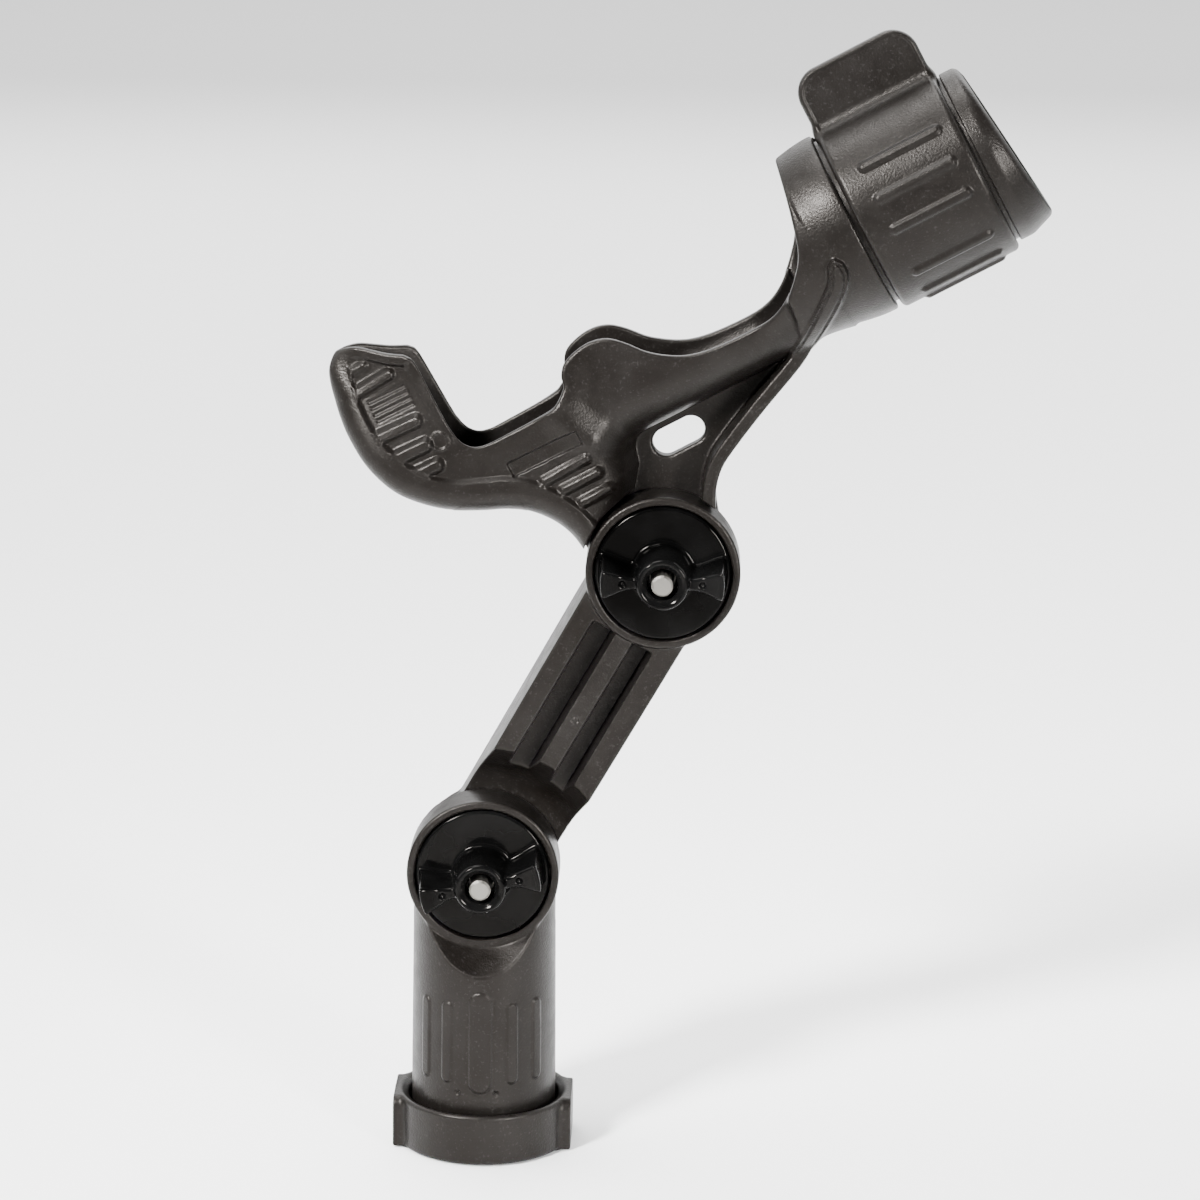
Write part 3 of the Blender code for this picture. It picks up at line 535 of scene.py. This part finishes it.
# ---------------------------------------------------------------- cradle
STEPS = 5                          # points on a smoothed outline for each point given
RIM = smooth_path([(-58.5, 96.6), (-52.0, 95.7), (-47.0, 94.3), (-43.2, 91.7), (-39.8, 89.2),
                   (-35.6, 86.8)], 4)
RIM += smooth_path([(-34.2, 85.2), (-33.6, 82.0), (-33.5, 69.3), (-33.2, 62.0), (-31.6, 57.2),
                    (-27.6, 54.8), (-18.7, 54.6), (-7.0, 55.0), (-3.4, 56.2), (-0.3, 58.6)], STEPS)
RIM += smooth_path([(0.2, 59.6), (0.9, 62.2), (3.2, 64.8), (7.8, 66.4), (12.6, 66.7), (17.0, 65.3),
                    (20.8, 62.0), (24.9, 57.3), (30.4, 53.3), (35.8, 50.9), (43.0, 49.7),
                    (53.0, 49.4), (59.5, 50.2), (64.9, 52.9), (69.9, 57.5), (74.4, 63.6),
                    (77.2, 73.0), (79.0, 82.0), (80.2, 90.5)], STEPS)
RIMS = Outline(RIM + [(95, 91), (95, -30), (-90, -30), (-90, 110), (-52, 110)])
UNDERSIDE = smooth_path([(-50.5, 101.0), (-54.6, 95.6), (-57.8, 90.3), (-59.7, 83.3), (-60.6, 77.0),
                         (-60.7, 71.0), (-60.0, 64.2), (-57.9, 57.4), (-54.9, 51.9),
                         (-49.7, 46.2), (-44.1, 41.9), (-36.6, 38.0), (-31.1, 35.6),
                         (-25.7, 32.3), (-21.4, 27.8), (-18.5, 22.7), (-17.1, 17.0),
                         (-16.6, 8.0), (-15.6, 0.0)], STEPS)
TROUGH = Outline(UNDERSIDE[:13 * STEPS + 1] + [(-22.0, 34.5), (-14.0, 36.3), (66.0, 36.3), (95, 33.0),
                                   (110, 33), (110, 150), (-45, 150)])
COLUMN = Outline(UNDERSIDE[10 * STEPS:] + [(10.0, 0.0), (24.0, 20.0), (24.0, 50.0), (-36.0, 50.0)])
EDGE = [(19.4, 4.0), (22.4, 12.0), (27.6, 18.0), (34.0, 21.9), (46.8, 28.0), (60.1, 33.8),
        (66.5, 36.6)]
WEB = Outline(UNDERSIDE[12 * STEPS:] + [(-2.0, 12.0), (10.0, 12.0), (17.2, -2.0)]
              + smooth_path(EDGE, STEPS) + [(62.0, 43.0), (-26.0, 43.0)])
FLANGE = smooth_path([(13.8, -8.6), (15.7, -3.0), (17.7, 4.4), (20.9, 12.7), (26.3, 19.4),
                      (33.2, 23.6), (46.0, 29.7), (59.3, 35.5), (65.6, 39.4), (71.4, 43.8),
                      (77.0, 48.4), (81.0, 52.6), (82.4, 58.0)], 3)


def ribbon(points, half):
    """Closed outline round an open path, flat at its start and round at its end."""
    left, right, last = [], [], len(points) - 1
    for i, (x, z) in enumerate(points):
        x1, z1 = points[max(0, i - 1)]
        x2, z2 = points[min(last, i + 1)]
        size = ((x2 - x1) ** 2 + (z2 - z1) ** 2) ** 0.5
        reach = half * (1 - max(0.0, 1 - (last - i) / 3) ** 2) ** 0.5
        u, v = (z1 - z2) / size * reach, (x2 - x1) / size * reach
        left.append((x + u, z + v))
        right.append((x - u, z - v))
    return Outline(left + right[::-1])


STRUT = ribbon(FLANGE, FLANGE_HALF)
PANEL = Outline(smooth_path([(-50.8, 91.7), (-52.4, 85.2), (-53.3, 78.8), (-52.9, 69.8), (-49.4, 60.4),
                             (-45.2, 54.2), (-39.4, 49.4), (-32.0, 46.1), (-26.1, 43.7),
                             (-20.9, 40.4), (-16.6, 35.6), (-13.4, 30.4), (-11.2, 25.7)], STEPS)
                + [(-9.0, 16.0), (3.0, 16.0), (3.0, 90.0), (-30.0, 100.0)])
TIP = (-56.0, 99.0)


def half_width(x, z):
    """Half the trough's width: tapered to the hook's tip, flared to the neck."""
    reach = np.clip(np.hypot(x - TIP[0], z - TIP[1]) / HOOK_TAPER, 0, 1)
    hook = HALF * np.sin(reach * pi / 2)
    lean = 0.125 * np.maximum(z - 55, 0) * blend(x, -34, -10) * (1 - blend(x, 52, 70))
    return np.where(x < -30, hook, HALF) - lean + 10.2 * blend(x, 52, 78)


def neck_radius(x):
    """Neck's radius about the rod axis, flared towards the barrel."""
    return NECK_RADIUS + NECK_FLARE * blend(x, 68, 90)


def shoulder(x, z):
    """How far the side bulges over the column, with a crest along its front edge."""
    bulge = 1 - blend(x + 0.4 * (z - 40), -2, 9)
    bulge = SHOULDER * bulge * blend(x, -32, -12) * (1 - blend(z, 50, 66))
    return bulge + CREST * np.exp(-(bar2(x, z, RIDGE, 0.0) / CREST_WIDTH) ** 2)


def trough(x, z, side, rod):
    """Trough and neck as one solid, and the hollow inside the trough."""
    half = half_width(x, z)
    swell = shoulder(x, z)
    inside = TROUGH(x, z)
    round_off = ROUND_OFF + ROUNDER * blend(x, -2, 11)
    outer = corner(inside, side - half - swell, np.minimum(round_off, half * 0.98))
    inner_round = np.clip(np.minimum(round_off, half) - 2.2, 0.4, 20)
    inner = corner(inside + FLOOR_THICKNESS, side - half + WALL, inner_round)
    outer = smax(outer, rod - 14 * (1 - blend(x, 48, 71)), 2.0)
    outer = np.maximum(outer, x - 78)
    inner = smax(inner, rod + 3.0 - 14 * (1 - blend(x, 48, 68)), 2.0)
    inner = smax(inner, x - 74, 1.0)
    neck = smax(rod, slab(x, 66, 91.3), 0.8)
    neck = smax(neck, 66 + 0.35 * (z - AXIS) - x, 3.0)
    return smin(outer, neck, 2.5), inner


def column(x, z, side):
    """Column under the trough, its front flank leaning in towards the web."""
    post = corner(COLUMN(x, z), side - HALF - shoulder(x, z), ROUND_OFF)
    ridge = 2.3 + 0.09 * np.maximum(z - 37.6, 0) - 0.26 * np.maximum(37.6 - z, 0)
    ridge = ridge - 0.5 * np.maximum(28.5 - z, 0)
    flank = (x - ridge - 0.9) * 0.905 - (13.0 - side) * 0.426
    return smax(post, flank, 9.0)


def neck_band(x, strut, rod):
    """Raised band that carries the strut on up the neck."""
    band = np.hypot(np.maximum(strut + 0.3, 0), np.maximum(rod - 0.9, 0)) - 1.1
    band = raised(band, np.maximum(np.abs(strut + 0.2) - 0.35, 62 - x), -0.6, 0.6)
    return np.maximum(band, 60 - x)


def cradle(x, y, z):
    """Trough with the cupped hook, column, web, strut, back ear and neck."""
    side = np.abs(y)
    axis = np.hypot(y, z - AXIS)
    rod = axis - neck_radius(x)
    body, inner = trough(x, z, side, rod)
    fillet = 0.4 + 0.8 * blend(x, -24, -10) + 3.0 * blend(x, 0, 8)
    edge = STRUT(x, z)
    web = smax(WEB(x, z), slab(y, WEB_FRONT, WEB_BACK), 0.8)
    strut = smax(edge, slab(y, -11.2, 11.8), 1.0)
    body = smin(smin(body, column(x, z, side), fillet), smin(web, strut, 1.2), 1.2)
    body = smin(body, neck_band(x, edge, rod), 1.0)
    body = side_marks(body, x, y, z)

    bore = np.maximum(axis - BORE_RADIUS, 68 - x)
    body = smax(body, -smin(inner, bore, 1.5), 0.5)
    body = smax(body, RIMS(x, z), 0.9 + 4.5 * blend(-x, 48, 57))
    slot = np.maximum(np.maximum(slab(y, SLOT_NEAR, SLOT_FAR), AXIS - z), 60 - x)
    body = smax(body, -slot, 0.7)
    hole = box2(x - 20.5, z - 30.0, 7.7, 3.9, 3.9)
    body = smax(body, -hole, 1.2)

    swing = np.maximum(np.hypot(x, z) - ARM_SWING, y - SWING_GAP)
    body = smax(body, -swing, 0.4)
    return smin(body, back_ear(x, y, z), 0.8)


RIBS = [((-51.6, 88.7), (-47.4, 88.9), 1.1), ((-54.0, 82.9), (-42.0, 83.8), 1.5),
        ((-54.0, 69.6), (-40.9, 69.2), 1.7), ((-54.0, 62.4), (-41.8, 62.2), 1.9),
        ((-51.5, 55.9), (-41.4, 55.9), 1.8)]
SMALL_RIBS = [((-16.8, 38.2), (-3.6, 38.9)), ((-13.2, 33.6), (-2.6, 33.8)),
              ((-10.2, 28.2), (-2.0, 28.3))]
PATCH = (-45.0, 76.4)
GROOVE_PITCH = 1.8
PANEL_DEPTH = 1.5


def side_marks(body, x, y, z):
    """Sunk side panels with grip ribs, a plain label panel and a round mark."""
    wall = PANEL_DEPTH * blend(np.abs(y), 2.0, 6.0)
    panel = np.maximum(PANEL(x, z), RIMS(x, z) + 2.8 - 6 * blend(x, -38, -30))
    fade = 1 - blend(x, -12.0, 2.0)
    body = body + wall * (1 - blend(panel, -1.0, 0.5)) * fade
    rib = 1e9
    for start, end, radius in RIBS:
        rib = np.minimum(rib, bar2(x, z, (start, end), radius))
    body = raised(body, np.maximum(rib, panel + 0.2), 1.45, 1.9)
    small = 1e9
    for ends in SMALL_RIBS:
        small = np.minimum(small, bar2(x, z, ends, 1.3))
    body = raised(body, np.maximum(small, panel - 0.2), 1.2, 1.9)
    label = box2(x + 13.2, z - 45.2, 10.8, 2.1, 0.4)
    body = raised(body, np.maximum(label, y), -0.8, 0.5)
    patch = np.maximum(box2(x - PATCH[0], z - PATCH[1], 6.0, 3.6, 0.4), panel + 1.2)
    lines = 0.5 - 0.5 * np.cos(2 * pi * (z - PATCH[1]) / GROOVE_PITCH)
    body = body + 0.45 * lines * (1 - blend(patch, -0.4, 0.2))
    mark = np.abs(np.hypot(x + 37.6, z - 61.3) - 2.4) - 0.3
    return raised(body, np.maximum(mark, y), 0.4, 0.6)


def barrel(x, y, z):
    """Slotted barrel that the retainer ring turns on; x along the rod, z off its axis."""
    r = np.hypot(y, z)
    tube = smax(r - BARREL_RADIUS, slab(x, BARREL_START, BARREL_END), 0.6)
    tube = smax(tube, BORE_RADIUS - r, 0.5)
    tube = np.maximum(tube, -box2(r - BARREL_RADIUS, x - 110.3, 1.2, 0.7))
    return smax(tube, -np.maximum(slab(y, SLOT_NEAR, SLOT_FAR), -z), 0.5)


def retainer_ring(x, y, z):
    """Ring with a thumb tab that rises from one lip of its slot."""
    r = np.hypot(y, z)
    ring = corner(r - RETAINER_RADIUS, slab(x, RETAINER_START, RETAINER_END), 1.6)
    ring = smax(ring, RETAINER_BORE - r, 0.4)
    slot = np.maximum(slab(y, SLOT_NEAR, SLOT_FAR), 5.0 - z)
    ring = smax(ring, -slot, 0.6)
    outline = box2(x - TAB_MIDDLE, z - 30.9, TAB_HALF, 12.0, 7.5)
    tab = smax(outline, slab(y, SLOT_NEAR - TAB_THICKNESS, SLOT_NEAR), 1.2)
    tab = raised(tab, np.abs(outline + 1.0) - 0.5, 0.3, 0.8)
    tab = np.maximum(tab, 25.8 - r)
    body = smin(ring, tab, 3.2)
    body = smax(body, -slot, 0.4)
    body = np.maximum(body, RETAINER_BORE - r)
    around = np.degrees(np.arctan2(-y, z))
    for place in RETAINER_BARS:
        bar = bar2(x, (around - place) * MM_PER_DEGREE, ((100.8, 0), (122.2, 0)), 1.25)
        body = raised(body, bar, 0.9, 1.5)
    return body


def nose_ring(x, y, z):
    """End ring with an oblique front face."""
    r = np.hypot(y, z)
    face = (x - NOSE_FACE + z * NOSE_LEAN) * 0.993
    cone = (r - NOSE_RADIUS + 0.37 * (x - NOSE_CONE)) * 0.938
    ring = smax(smax(r - NOSE_RADIUS, cone, 0.3), face, 1.7)
    ring = smax(smax(ring, NOSE_START - x, 0.5), BORE_RADIUS - r, 1.0)
    return smax(ring, -np.maximum(slab(y, SLOT_NEAR, SLOT_FAR), -z), 0.8)


# ---------------------------------------------------------------- pieces
FINE, MEDIUM, COARSE = 0.36, 0.5, 0.55
ROD = CRADLE @ Matrix.Translation((0, 0, AXIS * MM))
surface("base_shell", base_body, (-22, -22, 0), (22, 22, 106), COARSE, BASE, NYLON, "base",
        ["base_body"])
surface("collar_shell", twist_collar, (-26, -26, 0), (26, 26, 16), MEDIUM, BASE, NYLON, "collar",
        ["twist_collar"])
surface("arm_shell", arm, (-22, -15, -20), (22, 14, 124), MEDIUM, ARM, NYLON, "arm",
        ["arm"])
surface("cradle_shell", cradle, (-62, -28, -20), (92, 28, 98), MEDIUM, CRADLE, NYLON, "cradle",
        ["cradle"])
surface("barrel_shell", barrel, (90, -26, -26), (130, 26, 26), MEDIUM, ROD, NYLON, "cradle")
surface("retainer_shell", retainer_ring, (92, -29, -29), (129, 29, 43), MEDIUM, ROD, NYLON,
        "retainer", ["retainer_ring"])
surface("nose_shell", nose_ring, (129, -27, -27), (143, 27, 27), MEDIUM, ROD, NYLON, "cradle",
        ["nose_ring"])
for which, place in (("lower", LOWER_KNOB), ("upper", UPPER)):
    surface(which + "_knob_shell", knob, (-19, -29, -19), (19, -10, 19), FINE, place, GLOSS,
            which + "_knob", [which + "_knob"])

PAINTS = {"glass_filled_nylon": NYLON, "gloss_nylon": GLOSS, "stainless_steel": STEEL,
          "spring_steel": WIRE, "black_rubber": RUBBER}
slots = {part["node"]: part["material_slot"] for part in frame["record"]["subparts"]}
for node, kept in frame["nodes"].items():
    kept.data.materials.clear()
    kept.data.materials.append(PAINTS[slots[node]])


# ---------------------------------------------------------------- stage, light, camera
# Lamps and floor are in metres; the camera's place is in millimetres
LAMP_AIM = (0.03, 0, 0.16)
LAMPS = (   # name, place, aim, size, watts, spread in degrees
    ("key", (-0.75, -0.95, 0.95), LAMP_AIM, (0.28, 0.28), 6.4, 45),
    ("front_right", (0.95, -1.25, 0.42), LAMP_AIM, (0.2, 0.45), 3.6, 45),
    ("top", (-0.35, 0.15, 1.55), LAMP_AIM, (0.9, 0.6), 34, 180),
    ("back", (0.0, 1.7, 1.35), LAMP_AIM, (3.4, 1.9), 66, 180),
    ("side_left", (-1.55, 0.35, 1.0), LAMP_AIM, (1.4, 1.3), 26, 180),
    ("side_right", (1.55, 0.35, 1.0), LAMP_AIM, (1.4, 1.3), 20, 180),
    ("far_floor", (0.0, 3.2, 2.6), (0.0, 3.2, 0.0), (4.0, 3.0), 150, 180))
WORLD_STRENGTH = 0.16
FLOOR_REACH = 4.0
FLOOR_COLOUR = (0.92, 0.92, 0.92, 1)
FLOOR_ROUGHNESS = 0.9
CAMERA_PLACE = (57.66, -1092.99, 433.85)
CAMERA_YAW, CAMERA_PITCH, CAMERA_ROLL = radians(1.35), radians(13.99), radians(0.77)
LENS, SENSOR = 120, 36


def emitter(name, place, aim, size, power, spread):
    """Area light that faces the point aim."""
    data = bpy.data.lights.new(name, "AREA")
    data.shape = "RECTANGLE"
    data.size, data.size_y = size
    data.energy = power
    data.spread = radians(spread)
    lamp = bpy.data.objects.new(name, data)
    bpy.context.collection.objects.link(lamp)
    lamp.location = place
    lamp.rotation_mode = "QUATERNION"
    lamp.rotation_quaternion = (Vector(aim) - Vector(place)).to_track_quat("-Z", "Y")


floor_mesh = bpy.data.meshes.new("floor")
floor_mesh.from_pydata([(-FLOOR_REACH, -FLOOR_REACH, 0), (FLOOR_REACH, -FLOOR_REACH, 0),
                        (FLOOR_REACH, FLOOR_REACH, 0), (-FLOOR_REACH, FLOOR_REACH, 0)],
                       [], [(0, 1, 2, 3)])
floor = bpy.data.objects.new("floor", floor_mesh)
bpy.context.collection.objects.link(floor)
pale = bpy.data.materials.new("pale_floor")
pale.use_nodes = True
pale_shader = pale.node_tree.nodes["Principled BSDF"]
pale_shader.inputs["Base Color"].default_value = FLOOR_COLOUR
pale_shader.inputs["Roughness"].default_value = FLOOR_ROUGHNESS
floor_mesh.materials.append(pale)

world = bpy.context.scene.world or bpy.data.worlds.new("world")
bpy.context.scene.world = world
world.use_nodes = True
background = world.node_tree.nodes["Background"]
background.inputs["Color"].default_value = (1, 1, 1, 1)
background.inputs["Strength"].default_value = WORLD_STRENGTH

for lamp_settings in LAMPS:
    emitter(*lamp_settings)

look = Vector((-sin(CAMERA_YAW) * cos(CAMERA_PITCH), cos(CAMERA_YAW) * cos(CAMERA_PITCH),
               -sin(CAMERA_PITCH)))
level = Vector((cos(CAMERA_YAW), sin(CAMERA_YAW), 0))
upright = level.cross(look)
right = level * cos(CAMERA_ROLL) + upright * sin(CAMERA_ROLL)
up = upright * cos(CAMERA_ROLL) - level * sin(CAMERA_ROLL)
camera_data = bpy.data.cameras.new("camera")
camera_data.lens, camera_data.sensor_width = LENS, SENSOR
camera_data.clip_start, camera_data.clip_end = 0.05, 20
camera = bpy.data.objects.new("camera", camera_data)
bpy.context.collection.objects.link(camera)
turned = Matrix((right, up, -look)).transposed().to_4x4()
turned.translation = Vector(CAMERA_PLACE) * MM
camera.matrix_world = turned
bpy.context.scene.camera = camera
